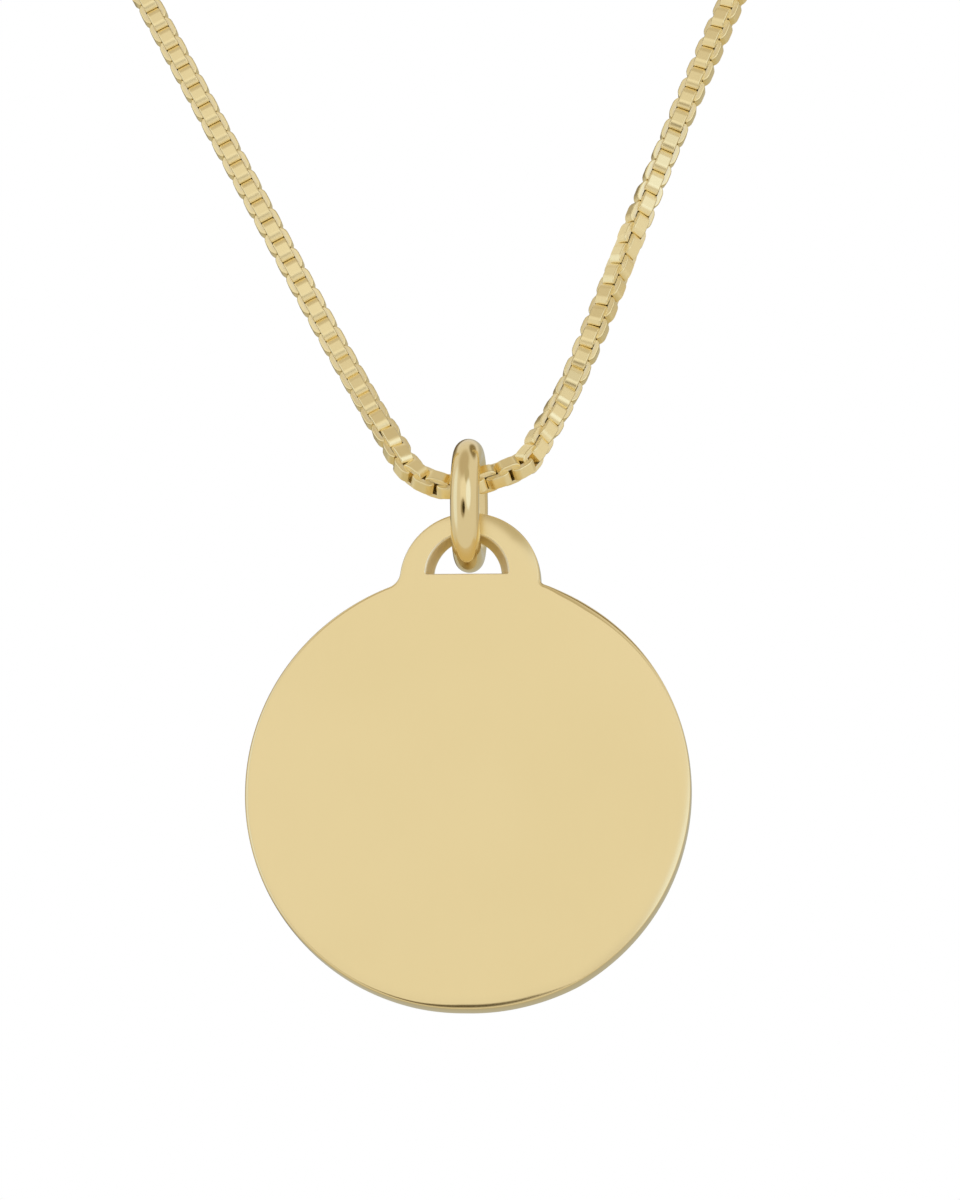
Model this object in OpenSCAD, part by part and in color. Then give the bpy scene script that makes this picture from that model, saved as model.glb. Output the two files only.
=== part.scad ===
// Disc pendant on a fine box chain, in the form it has when it is worn.
// The origin is the middle of the clasp at the nape, +Z is up, and the disc faces -Y.
// The disc and its eye tab are one plate, the jump ring runs through the eye and round the chain,
// and the chain is a closed loop that ends in the clasp's two sockets.

/* [Disc] */
// Diameter of the round tag
disc_d = 16; // [12:0.5:22]
// Thickness of the tag and its tab
disc_t = 1; // [0.8:0.05:1.4]
// Radius of the softened outer edge
edge_r = 0.14; // [0.05:0.01:0.3]

/* [Eye tab] */
// How far the eye's flat side lies inside the disc's outline
eye_drop = 0.1; // [0:0.05:0.4]
// Free play of the ring's wire in the height of the eye
eye_play = 0.28; // [0.2:0.02:0.6]
// How much wider the eye is at the two faces than halfway through
eye_flare = 0.17; // [0.08:0.01:0.3]
// Metal above the eye, halfway through the plate
bridge_t = 0.97; // [0.8:0.01:1.2]
// Metal beside the eye, at the faces
cheek_t = 1.05; // [0.9:0.01:1.4]
// Radius of the hollow corner where the tab meets the disc, picture's left
web_left_r = 0.45; // [0.2:0.05:0.8]
// Radius of the hollow corner where the tab meets the disc, picture's right
web_right_r = 0.2; // [0.2:0.05:0.8]

/* [Jump ring] */
// Diameter of the ring's round wire
ring_wire = 1.05; // [0.8:0.05:1.3]
// Free space inside the ring once the chain and the eye's bridge are in it
ring_play = 0.88; // [0.6:0.02:1.4]
// Gap between the ring's wire and the eye's bridge that hangs on it
eye_clear = 0.06; // [0.05:0.01:0.1]

/* [Chain] */
// Width of the chain across its links
chain_w = 0.9; // [0.7:0.05:1.1]
// Gap between the chain and the ring's wire that hangs on it
chain_clear = 0.1; // [0.08:0.01:0.14]

/* [Clasp] */
// Diameter of the barrel
clasp_d = 2.6; // [2.2:0.1:3.4]
// Length of the barrel over its end collars
clasp_l = 8; // [6:0.5:12]
// Radius that rounds the barrel's ends
end_round = 0.5; // [0.2:0.1:0.5]
// Length of each end collar
collar_l = 0.8; // [0.5:0.1:1.2]
// Wall of the end collars round the chain
collar_wall = 0.3; // [0.2:0.05:0.5]
// Width of the groove round the middle where the two halves meet
seam_w = 0.2; // [0.1:0.05:0.4]
// Depth of that groove
seam_depth = 0.15; // [0.1:0.05:0.3]
// How deep the chain goes into each socket
socket_depth = 1.4; // [1:0.1:2]
// Gap round the chain and behind its end in each socket
socket_clear = 0.1; // [0.05:0.05:0.2]

/* [Hidden] */
$fn = 96;

gold = [0.90, 0.79, 0.53];
chain_gold = [0.84, 0.72, 0.47];

// The chain's route, in millimetres: from the clasp round the left of the picture, down to the
// lowest point under the ring, and up round the right of the picture to the clasp again.
// The first and last points are the middle of the clasp.
chain_route = [
    [0, 0, 0],
    [-12, -0.4, -0.1],
    [-26, -3.5, -1],
    [-39, -10, -2.5],
    [-49, -20, -5],
    [-55, -33, -9],
    [-56, -46, -15.5],
    [-53.5, -59, -25.5],
    [-48, -70.3, -38.5],
    [-38.9, -80.5, -56.5],
    [-29.3, -88, -76],
    [-20.6, -93.1, -92.8],
    [-12.5, -96.4, -107.8],
    [-8.2, -97.6, -115.8],
    [-4.4, -98.6, -122.8],
    [-3.2, -99.3, -124.9],
    [-1.8, -100, -126.8],
    [-0.9, -100, -127.1],
    [-0.1, -100, -127],
    [0.6, -100, -126.8],
    [1.2, -100, -126.6],
    [1.9, -99.9, -126.2],
    [2.4, -99.4, -125.2],
    [3.2, -98.4, -123.3],
    [4.3, -97.8, -120.4],
    [5.4, -97.1, -117.1],
    [8.9, -95.6, -107.6],
    [15.1, -92.4, -93],
    [23.2, -87.3, -76.5],
    [33, -80, -58.3],
    [43, -70.5, -40.5],
    [50, -59.5, -26.5],
    [53.5, -46.7, -16],
    [53.5, -33, -9],
    [48, -20, -5],
    [38.5, -10, -2.5],
    [26, -3.5, -1],
    [12, -0.4, -0.1],
    [0, 0, 0]
];
// Place in the list of the lowest point, where the ring hangs
low_i = 18;
// Direction in which the route leaves and reaches the middle of the clasp
clasp_dir = [-1, 0, 0];
// A point in the middle of the loop, which every ring of the tubes turns its first corner away from
loop_middle = [0, -50, -45];
tube_sides = 8;
rings_per_span = 2;

disc_r = disc_d / 2;
ring_r = ring_wire / 2;
chain_r = chain_w / 2;

// Heights in the pendant's own frame, from the disc's centre
eye_r = ring_wire + eye_play;
eye_face_r = eye_r + eye_flare;
flat_z = disc_r - eye_drop;
tab_r = eye_face_r + cheek_t;
tab_z = flat_z + eye_r + bridge_t - tab_r;
ring_id_r = (bridge_t + chain_w + ring_play) / 2;
ring_mid_r = ring_id_r + ring_r;
ring_z = flat_z + eye_r - eye_clear + ring_id_r;
// Radius of the arc that the eye's wall follows through the plate
wall_arc_r = (pow(disc_t / 2, 2) + pow(eye_flare, 2)) / (2 * eye_flare);

// Places in the necklace's frame
low_point = chain_route[low_i];
ring_centre = low_point - [0, 0, ring_id_r - chain_r - chain_clear];
// The disc hangs in the middle, a little to the right of the lowest point
disc_centre = [0, ring_centre[1], ring_centre[2] - ring_z];

// How far the arcs of the hollow corners bite into the plate, so that they end in a clean edge
web_bite = 0.01;
// How far the hidden sides of a web reach into the plate
web_root = 0.3;
// Length by which cutting tools stand out of what they cut
over = 1;

collar_r = chain_r + socket_clear + collar_wall;
socket_r = chain_r + socket_clear;
// Where the chain's ends stand, from the middle of the clasp
chain_end_x = clasp_l / 2 - socket_depth;
socket_floor = chain_end_x - socket_clear;
barrel_r = clasp_d / 2;
barrel_l = clasp_l - 2 * collar_l;

// Half of a plate's section with softened corners: x is the distance from its axis
module plate_profile(r) {
    half_t = disc_t / 2;
    translate([0, -half_t]) square([r - edge_r, disc_t]);
    translate([0, edge_r - half_t]) square([r, disc_t - 2 * edge_r]);
    for (side = [-1, 1])
        translate([r - edge_r, side * (half_t - edge_r)]) circle(r = edge_r);
}

// A round plate that faces -Y, with softened edges
module round_plate(r) {
    rotate([90, 0, 0]) rotate_extrude($fn = 180) plate_profile(r);
}

// The piece of metal that fills the corner between the tab and the disc, hollowed by an arc
module web(side, web_r) {
    from_disc = disc_r + web_r - web_bite;
    from_tab = tab_r + web_r - web_bite;
    arc_z = (pow(from_disc, 2) - pow(from_tab, 2) + pow(tab_z, 2)) / (2 * tab_z);
    arc_x = sqrt(pow(from_disc, 2) - pow(arc_z, 2));
    corner_z = (pow(disc_r, 2) - pow(tab_r, 2) + pow(tab_z, 2)) / (2 * tab_z);
    corner_x = sqrt(pow(disc_r, 2) - pow(corner_z, 2));
    arc = [arc_x, arc_z];
    to_disc = arc * (1 - (web_r + web_root) / norm(arc));
    to_tab = arc + ([0, tab_z] - arc) * (web_r + web_root) / norm(arc - [0, tab_z]);
    root = [corner_x - web_root, corner_z - web_root];
    mirror([side < 0 ? 1 : 0, 0, 0])
        rotate([90, 0, 0])
            linear_extrude(height = disc_t - 2 * edge_r, center = true)
                difference() {
                    polygon([arc, to_tab, root, to_disc]);
                    translate(arc) circle(r = web_r);
                }
}

// The half-round opening: an arched top that is narrowest halfway through, and a flat below
module eye_cut() {
    intersection() {
        translate([0, 0, flat_z])
            rotate([90, 0, 0])
                rotate_extrude()
                    difference() {
                        translate([0, -disc_t / 2 - over]) square([eye_face_r, disc_t + 2 * over]);
                        translate([eye_r + wall_arc_r, 0]) circle(r = wall_arc_r);
                    }
        translate([-eye_face_r - over, -disc_t / 2 - over, flat_z])
            cube([2 * (eye_face_r + over), disc_t + 2 * over, eye_face_r + over]);
    }
}

module disc_tag() {
    color(gold)
        translate(disc_centre)
            difference() {
                union() {
                    round_plate(disc_r);
                    translate([0, 0, tab_z]) round_plate(tab_r);
                    web(-1, web_left_r);
                    web(1, web_right_r);
                }
                eye_cut();
            }
}

module jump_ring() {
    color(gold)
        translate(ring_centre)
            rotate([0, 90, 0])
                rotate_extrude()
                    translate([ring_mid_r, 0]) circle(r = ring_r);
}

// Length of the span from point i to the next
function span_len(i) = norm(chain_route[i + 1] - chain_route[i]);

// Direction of the route at point i, from the two spans beside it, the shorter span weighing more
function route_dir(i) =
    i == 0 || i == len(chain_route) - 1 ? clasp_dir :
    let (
        before = (chain_route[i] - chain_route[i - 1]) / span_len(i - 1),
        after = (chain_route[i + 1] - chain_route[i]) / span_len(i)
    )
    (before * span_len(i) + after * span_len(i - 1)) / (span_len(i - 1) + span_len(i));

// Point at share u of span i, on the cubic that leaves and meets the points along their directions
function route_point(i, u) =
    let (len_i = span_len(i))
    (2 * u * u * u - 3 * u * u + 1) * chain_route[i]
    + (u * u * u - 2 * u * u + u) * len_i * route_dir(i)
    + (3 * u * u - 2 * u * u * u) * chain_route[i + 1]
    + (u * u * u - u * u) * len_i * route_dir(i + 1);

// Direction of the same cubic
function route_tangent(i, u) =
    let (
        len_i = span_len(i),
        d = (6 * u * u - 6 * u) * chain_route[i]
            + (3 * u * u - 4 * u + 1) * len_i * route_dir(i)
            + (6 * u - 6 * u * u) * chain_route[i + 1]
            + (3 * u * u - 2 * u) * len_i * route_dir(i + 1)
    )
    d / norm(d);

// One ring of a tube's corners, square to the route
function tube_ring(at, along) =
    let (
        away = at - loop_middle,
        flat_away = away - (away * along) * along,
        first = flat_away / norm(flat_away),
        second = cross(along, first)
    )
    [for (k = [0 : tube_sides - 1])
        at + chain_r * (cos(360 * k / tube_sides) * first + sin(360 * k / tube_sides) * second)];

// A closed tube through a list of rings
module tube(rings) {
    n = len(rings);
    points = [for (ring = rings) each ring];
    walls = [for (j = [0 : n - 2]) for (k = [0 : tube_sides - 1])
        let (m = (k + 1) % tube_sides)
        each [
            [j * tube_sides + k, (j + 1) * tube_sides + m, j * tube_sides + m],
            [j * tube_sides + k, (j + 1) * tube_sides + k, (j + 1) * tube_sides + m]
        ]];
    first_cap = [for (k = [0 : tube_sides - 1]) k];
    last_cap = [for (k = [tube_sides - 1 : -1 : 0]) (n - 1) * tube_sides + k];
    polyhedron(points = points, faces = concat(walls, [first_cap, last_cap]));
}

// The rings of the spans from point a to point b. The clasp's own span starts at the chain's end.
function half_rings(a, b) = [
    for (i = [a : b - 1]) for (s = [0 : rings_per_span - (i == b - 1 ? 0 : 1)])
        let (
            last_span = len(chain_route) - 2,
            u = s / rings_per_span,
            end_share = chain_end_x / span_len(i),
            v = i == 0 ? end_share + u * (1 - end_share)
                : i == last_span ? u * (1 - end_share)
                : u
        )
        tube_ring(route_point(i, v), route_tangent(i, v))
];

module chain_left() {
    color(chain_gold) tube(half_rings(0, low_i));
}

module chain_right() {
    color(chain_gold) tube(half_rings(low_i, len(chain_route) - 1));
}

// Half of the barrel's section: the body with its rounded ends and the two collars
module barrel_outline() {
    end_z = barrel_l / 2 - end_round;
    translate([0, -end_z]) square([barrel_r, 2 * end_z]);
    translate([0, -barrel_l / 2]) square([barrel_r - end_round, barrel_l]);
    for (side = [-1, 1])
        translate([barrel_r - end_round, side * end_z]) circle(r = end_round);
    translate([0, -clasp_l / 2]) square([collar_r, clasp_l]);
}

// The same with the seam groove round its middle and the sockets for the chain's ends
module barrel_profile() {
    difference() {
        barrel_outline();
        translate([barrel_r - seam_depth, -seam_w / 2]) square([seam_depth + over, seam_w]);
        translate([0, socket_floor]) square([socket_r, socket_depth + socket_clear + over]);
        translate([0, -clasp_l / 2 - over]) square([socket_r, socket_depth + socket_clear + over]);
    }
}

module clasp() {
    color(gold) rotate([0, 90, 0]) rotate_extrude() barrel_profile();
}

disc_tag();
jump_ring();
chain_left();
chain_right();
clasp();
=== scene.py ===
"""Looks for a plain disc pendant on a fine box chain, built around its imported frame.

The round tag, the jump ring, the two halves of the chain and the clasp are surfaces worked out with
numpy. Lengths are in metres, +Z is up and the tag faces -Y, as in the frame.
"""

import math

import bpy
import numpy as np
from mathutils import Matrix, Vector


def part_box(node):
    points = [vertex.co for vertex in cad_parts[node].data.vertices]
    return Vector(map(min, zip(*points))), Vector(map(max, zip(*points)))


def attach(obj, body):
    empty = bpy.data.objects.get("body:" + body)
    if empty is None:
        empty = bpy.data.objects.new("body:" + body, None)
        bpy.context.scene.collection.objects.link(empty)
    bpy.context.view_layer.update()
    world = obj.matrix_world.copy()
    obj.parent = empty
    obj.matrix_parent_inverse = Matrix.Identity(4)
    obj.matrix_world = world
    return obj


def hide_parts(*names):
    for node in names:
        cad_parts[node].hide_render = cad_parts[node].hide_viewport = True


bl_info = {
    "name": "Disc Pendant on a Box Chain",
    "version": (1, 0, 0),
    "blender": (4, 5, 0),
    "location": "View3D > Sidebar > Pendant",
    "description": "Builds a round gold tag, its jump ring, a whole box chain and its clasp",
    "category": "Add Mesh",
}

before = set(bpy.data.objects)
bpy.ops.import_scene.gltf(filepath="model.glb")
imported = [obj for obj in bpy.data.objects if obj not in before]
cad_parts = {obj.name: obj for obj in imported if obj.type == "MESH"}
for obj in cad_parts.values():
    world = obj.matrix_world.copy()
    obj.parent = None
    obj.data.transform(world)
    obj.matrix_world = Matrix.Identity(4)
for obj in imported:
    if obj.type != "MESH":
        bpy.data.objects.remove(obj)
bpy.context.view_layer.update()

MM = 0.001
FACE = np.array([0.0, -1.0, 0.0])
UP = np.array([0.0, 0.0, 1.0])

# Places and main sizes, read from the frame's boxes
TAG_LOW, TAG_HIGH = (np.array(corner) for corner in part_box("disc_tag"))
RING_LOW, RING_HIGH = (np.array(corner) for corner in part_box("jump_ring"))
CLASP_LOW, CLASP_HIGH = (np.array(corner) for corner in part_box("clasp"))
TAG_RADIUS = (TAG_HIGH[0] - TAG_LOW[0]) / 2
TAG_THICKNESS = TAG_HIGH[1] - TAG_LOW[1]
TAG_CENTRE = np.array([0.0, (TAG_LOW[1] + TAG_HIGH[1]) / 2, TAG_LOW[2] + TAG_RADIUS])
TAB_TOP = TAG_HIGH[2] - TAG_CENTRE[2]
RING_CENTRE = (RING_LOW + RING_HIGH) / 2
RING_WIRE = RING_HIGH[0] - RING_LOW[0]
RING_OUTER = (RING_HIGH[2] - RING_LOW[2]) / 2
CLASP_LENGTH = CLASP_HIGH[0] - CLASP_LOW[0]
CLASP_WIDTH = CLASP_HIGH[2] - CLASP_LOW[2]

# The chain's route: from the clasp round the left of the picture, down to the lowest point under the
# ring, and up round the right of the picture to the clasp again
CHAIN_ROUTE = MM * np.array([
    [0, 0, 0], [-12, -0.4, -0.1], [-26, -3.5, -1], [-39, -10, -2.5], [-49, -20, -5],
    [-55, -33, -9], [-56, -46, -15.5], [-53.5, -59, -25.5], [-48, -70.3, -38.5],
    [-38.9, -80.5, -56.5], [-29.3, -88, -76], [-20.6, -93.1, -92.8], [-12.5, -96.4, -107.8],
    [-8.2, -97.6, -115.8], [-4.4, -98.6, -122.8], [-3.2, -99.3, -124.9], [-1.8, -100, -126.8],
    [-0.9, -100, -127.1], [-0.1, -100, -127], [0.6, -100, -126.8], [1.2, -100, -126.6],
    [1.9, -99.9, -126.2], [2.4, -99.4, -125.2], [3.2, -98.4, -123.3], [4.3, -97.8, -120.4],
    [5.4, -97.1, -117.1], [8.9, -95.6, -107.6], [15.1, -92.4, -93], [23.2, -87.3, -76.5],
    [33, -80, -58.3], [43, -70.5, -40.5], [50, -59.5, -26.5], [53.5, -46.7, -16], [53.5, -33, -9],
    [48, -20, -5], [38.5, -10, -2.5], [26, -3.5, -1], [12, -0.4, -0.1], [0, 0, 0],
])
ROUTE_LOW = 18
ROUTE_END_DIRECTION = np.array([-1.0, 0.0, 0.0])
LOOP_MIDDLE = MM * np.array([0.0, -50.0, -45.0])
# Where the chain's ends stand from the middle of the clasp
CHAIN_END = 2.6 * MM

# How far the links are turned about the route from facing the front, in degrees, at distances from the
# lowest point along each half, in millimetres: every key is one twist that the photograph shows
LEFT_TWIST = {"distance": (0, 1.7, 2.6, 3.8, 5.5, 225), "turn": (-59, -43, -30, -14, -2, -2)}
RIGHT_TWIST = {
    "distance": (0, 1.7, 3, 4.3, 6.2, 7.3, 9.3, 11, 12.1, 13.2, 15, 16.8, 18, 21.7, 225),
    "turn": (121, 134, 120, 102, 90, 82, 66, 52, 43, 25, 6, 0, -8, -24, -24),
}

# Where along Y the links turn from facing the camera to facing away from the middle of the loop
BLEND_FRONT = -88 * MM
BLEND_BACK = -66 * MM
# How many links next to the lowest point of each half lie at the near pitch
NEAR_LINKS = 20

# How the polisher left the rim, at angles in degrees round the disc from the tab's left foot to its right
# foot: the slope in degrees that the face's soft roll-off reaches, then in millimetres the radius that
# eases it, the radius that turns the corner and how far the rim stands proud of a true circle
RIM_FINISH = np.array([
    [110, 5, 0.05, 0.12, 0],
    [125, 3, 0.05, 0.18, 0],
    [180, 3, 0.05, 0.22, -0.02],
    [240, 3, 0.05, 0.1, 0.02],
    [258, 3, 0.22, 0.04, 0.02],
    [270, 3, 0.44, 0.04, 0.01],
    [288, 3, 0.44, 0.04, 0.08],
    [300, 5, 0.06, 0.04, 0.13],
    [315, 12, 0.04, 0.04, 0.11],
    [330, 16, 0.04, 0.04, 0.08],
    [345, 15, 0.04, 0.04, 0.04],
    [365, 9, 0.05, 0.05, 0.01],
    [385, 4, 0.06, 0.12, 0],
    [400, 4, 0.08, 0.22, 0],
    [408, 4, 0.1, 0.3, 0],
    [417, 4, 0.2, 0.36, 0],
    [425, 4, 0.15, 0.32, 0],
    [432, 4, 0.06, 0.15, 0],
])
# The tab's roll-off at angles round its arc: slope in degrees and width in millimetres
TAB_FINISH = np.array([[0, 4, 0.36], [20, 12, 0.6], [45, 17, 0.75], [80, 15, 0.55], [120, 9, 0.36],
                       [180, 9, 0.36]])
TAB_EASE = 0.05 * MM
TAB_CORNER = 0.1 * MM
# The slope at which the ease arc ends and the corner arc begins
EASE_SLOPE = math.radians(24)
# How the eye's wall opens from halfway to the faces: as this power of the height
WALL_POWER = 1.25
# How strongly the faces' grid lines crowd towards the eye's flat
FACE_BEND = 0.4

# How finely the surfaces are divided: the arcs of the tag's outline, its faces, the four arcs of its rim
# section, the rounded ends and the wall of its eye, the ring, the clasp, and each span of the route
TAB_STEPS = 96
WEB_STEPS = 12
DISC_STEPS = 240
FACE_ROWS = 10
ROLL_STEPS, EASE_STEPS, CORNER_STEPS, RIM_STEPS = 6, 4, 6, 6
EDGE_STEPS = 5
WALL_STEPS = 12
RING_AROUND, RING_ACROSS = 160, 64
CLASP_AROUND = 72
PROFILE_STEPS = 6
ROUTE_STEPS = 48
# The steps on each falling end of a link's face, near the lowest point and elsewhere
FINE_STEPS, PLAIN_STEPS = 3, 1
# How far the links' outer faces are burnished, near the lowest point and elsewhere
FINE_WORN, PLAIN_WORN = 0.4, 0.6

# The photograph's camera: azimuth to the right of the tag's face, elevation and roll, all in degrees
CAMERA_AZIMUTH = 4.96
CAMERA_ELEVATION = -14.1
CAMERA_ROLL = 0.85
CAMERA_DISTANCE = 238 * MM
CAMERA_AIM = TAG_CENTRE + MM * np.array([0.345, 0.0, 7.035])
FRAME_HEIGHT = 1200
PIXELS_PER_MM = 27.79
SENSOR = 36.0
CLIP_START, CLIP_END = 0.01, 20.0


def direction(azimuth, elevation):
    """Unit vector from two angles in degrees: azimuth 0 looks out of the tag's face and grows to the
    right, and elevation grows upwards."""
    azimuth, elevation = math.radians(azimuth), math.radians(elevation)
    flat = math.cos(elevation)
    return np.array([math.sin(azimuth) * flat, -math.cos(azimuth) * flat, math.sin(elevation)])


def unit(vectors):
    """Each vector divided by its length."""
    return vectors / np.linalg.norm(vectors, axis=-1, keepdims=True)


def stacked(*parts):
    """These numbers and arrays, spread to one shape, as the coordinates of one array of vectors."""
    return np.stack(np.broadcast_arrays(*parts), axis=-1)


TO_CAMERA = direction(CAMERA_AZIMUTH, CAMERA_ELEVATION)


def grid_faces(rows, columns, close_rows=False, close_columns=False):
    """Quads between the points of a grid that is stored row by row. A closed direction joins its last
    line of points to its first. They face towards (step between rows) x (step between columns)."""
    i = np.arange(rows if close_rows else rows - 1)[:, None]
    j = np.arange(columns if close_columns else columns - 1)[None, :]
    next_i = (i + 1) % rows
    next_j = (j + 1) % columns
    corners = (i * columns + j, next_i * columns + j, next_i * columns + next_j, i * columns + next_j)
    return stacked(*corners).reshape(-1, 4)


def put_mesh(name, points, face_sets, corner_normals):
    """A new object at the origin with these points, the faces of each set and one normal for each
    corner of each face, in the same order."""
    corners = np.concatenate([faces.ravel() for faces in face_sets])
    sizes = np.concatenate([np.full(len(faces), faces.shape[1]) for faces in face_sets])
    mesh = bpy.data.meshes.new(name)
    mesh.vertices.add(len(points))
    mesh.vertices.foreach_set("co", np.ascontiguousarray(points, np.float32).ravel())
    mesh.loops.add(len(corners))
    mesh.loops.foreach_set("vertex_index", corners.astype(np.int32))
    mesh.polygons.add(len(sizes))
    mesh.polygons.foreach_set("loop_start", (np.cumsum(sizes) - sizes).astype(np.int32))
    mesh.polygons.foreach_set("use_smooth", np.ones(len(sizes), bool))
    mesh.update(calc_edges=True)
    mesh.validate()
    mesh.normals_split_custom_set(corner_normals.tolist())
    piece = bpy.data.objects.new(name, mesh)
    bpy.context.scene.collection.objects.link(piece)
    return piece


def mark_wear(piece, edge, inside):
    """Stores how far each point lies on a burnished edge and on an inside that the polisher's wheel
    doesn't reach, both from 0 to 1, for the materials to read."""
    for name, amount in (("edge", edge), ("inside", inside)):
        layer = piece.data.attributes.new(name, "FLOAT", "POINT")
        layer.data.foreach_set("value", np.ascontiguousarray(amount, np.float32).ravel())


def arc_rows(centre, radius, bend, start, stop, count):
    """Points of one arc of an outline as rows of centre x, centre z, radius, bend and angle, in equal
    steps with the last one left out. bend is 1 where the outline bulges out and -1 in a hollow."""
    angle = start + (stop - start) * np.arange(count) / count
    fixed = np.tile([centre[0], centre[1], radius, bend], (count, 1))
    return np.column_stack([fixed, angle])


def plate_outline(tag):
    """The tag's outline, anticlockwise: the tab's arc, the left hollow corner, the disc's arc and the
    right hollow corner, each arc tangent to the next. A hollow corner's centre (x, z) lies its radius
    outside both arcs, and the arcs meet at its angles from the disc's centre and from the tab's."""
    tab_z = TAB_TOP - tag.tab_radius

    def hollow(web):
        from_disc, from_tab = TAG_RADIUS + web, tag.tab_radius + web
        z = (from_disc**2 - from_tab**2 + tab_z**2) / (2 * tab_z)
        x = math.sqrt(from_disc**2 - z**2)
        return x, z, math.atan2(z, x), math.atan2(z - tab_z, x)

    left_x, left_z, left_disc, left_tab = hollow(tag.web_left)
    right_x, right_z, right_disc, right_tab = hollow(tag.web_right)
    turn = math.pi
    return np.concatenate([
        arc_rows((0, tab_z), tag.tab_radius, 1, right_tab, turn - left_tab, TAB_STEPS),
        arc_rows((-left_x, left_z), tag.web_left, -1, -left_tab, -left_disc, WEB_STEPS),
        arc_rows((0, 0), TAG_RADIUS, 1, turn - left_disc, 2 * turn + right_disc, DISC_STEPS),
        arc_rows((right_x, right_z), tag.web_right, -1, turn + right_disc, turn + right_tab, WEB_STEPS),
    ])


def outline_at(outline, inset):
    """The outline drawn inwards by each inset: centre + (radius - bend * inset) * (cos, sin)."""
    heading = stacked(np.cos(outline[:, 4]), np.sin(outline[:, 4]))
    reach = outline[None, :, 2] - outline[None, :, 3] * inset
    return outline[None, :, :2] + reach[..., None] * heading


def read_finish(table, angle):
    """The table's columns after its first, drawn straight between its rows at these angles in degrees:
    slopes in radians and sizes in metres."""
    slope, *sizes = (np.interp(angle, table[:, 0], column) for column in table.T[1:])
    return np.radians(slope), *(MM * size for size in sizes)


def rim_finish(tag, outline):
    """The roll-off slope, its width, the ease radius, the corner radius and how far the rim stands proud
    at each point of the outline: the tab's and the disc's arc read their tables and the hollow corners
    run between them."""
    angle = np.degrees(outline[:, 4])
    disc = slice(TAB_STEPS + WEB_STEPS, TAB_STEPS + WEB_STEPS + DISC_STEPS)
    roll, width = read_finish(TAB_FINISH, angle)
    finish = np.stack(np.broadcast_arrays(roll, width, TAB_EASE, TAB_CORNER, 0.0))
    roll, *sizes = read_finish(RIM_FINISH, angle[disc])
    finish[:, disc] = np.broadcast_arrays(roll, tag.roll_width, *sizes)
    share = (np.arange(WEB_STEPS) + 1) / (WEB_STEPS + 1)
    for web, first, last in ((slice(TAB_STEPS, disc.start), TAB_STEPS - 1, disc.start),
                             (slice(disc.stop, None), disc.stop - 1, 0)):
        finish[:, web] = finish[:, [first]] + (finish[:, [last]] - finish[:, [first]]) * share
    return finish


def edge_profile(tag, roll, width, ease, corner):
    """Half of the rim's section at each point of the outline, from the flat face to the middle of the
    rim, as inset from the outline, height above the middle plane and slope. One arc rolls the face off,
    one eases it, a tight one turns the corner and a wide one carries on to the middle: an arc of radius
    R between the slopes a and b runs R (sin b - sin a) outwards and drops R (cos a - cos b)."""
    lean, right = tag.rim_slope, math.pi / 2
    roll_arc = width / np.sin(roll)
    eased = np.maximum(roll, EASE_SLOPE)
    dropped = (
        roll_arc * (1 - np.cos(roll))
        + ease * (np.cos(roll) - np.cos(eased))
        + corner * (np.cos(eased) - math.cos(lean))
    )
    rim_arc = (TAG_THICKNESS / 2 - dropped) / math.cos(lean)
    level = 0 * roll
    stages = (
        (roll_arc, level, roll, ROLL_STEPS),
        (ease, roll, eased, EASE_STEPS),
        (corner, eased, level + lean, CORNER_STEPS),
        (rim_arc, level + lean, level + right, RIM_STEPS),
    )
    run, drop, slope = [level], [level], [level]
    for radius, start, stop, steps in stages:
        angle = start + (stop - start) * (np.arange(1, steps + 1) / steps)[:, None]
        run.extend(run[-1] + radius * (np.sin(angle) - np.sin(start)))
        drop.extend(drop[-1] + radius * (np.cos(start) - np.cos(angle)))
        slope.extend(angle)
    run, drop, slope = np.array(run), np.array(drop), np.array(slope)
    return run[-1] - run, TAG_THICKNESS / 2 - drop, slope


def eye_loop(tag, wall, rise, grown):
    """The eye's outline at each row, anticlockwise and matched point for point to the plate's outline:
    an arch of half width wall and height rise, two rounded corners and the flat, all grown outwards by
    grown."""
    wall, rise, grown = wall[:, None], rise[:, None], grown[:, None]
    corner = tag.eye_corner
    corner_x = np.sqrt((wall - corner) ** 2 - corner**2)
    lean = np.arctan2(corner, corner_x)
    web = np.arange(WEB_STEPS)[None, :] / WEB_STEPS
    low = tag.eye_flat

    def arc(centre_x, centre_z, radius, angle):
        heading = stacked(np.cos(angle), np.sin(angle))
        return stacked(centre_x, centre_z + 0 * angle) + radius[..., None] * heading, heading

    angle = lean + (math.pi - 2 * lean) * np.arange(TAB_STEPS)[None, :] / TAB_STEPS
    arch = arc(0 * wall, low, wall + grown, angle)
    arch[0][..., 1] += (rise - wall) * np.sin(angle) ** 2
    quarter = (math.pi / 2 + lean) * web
    left = arc(-corner_x, low + corner, corner + grown, math.pi - lean + quarter)
    right = arc(corner_x, low + corner, corner + grown, 1.5 * math.pi + quarter)
    flat_x = corner_x * (2 * np.arange(DISC_STEPS)[None, :] / DISC_STEPS - 1)
    flat = (stacked(flat_x, low - grown), stacked(0 * flat_x, -1))
    return tuple(np.concatenate(part, axis=1) for part in zip(arch, left, flat, right))


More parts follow.
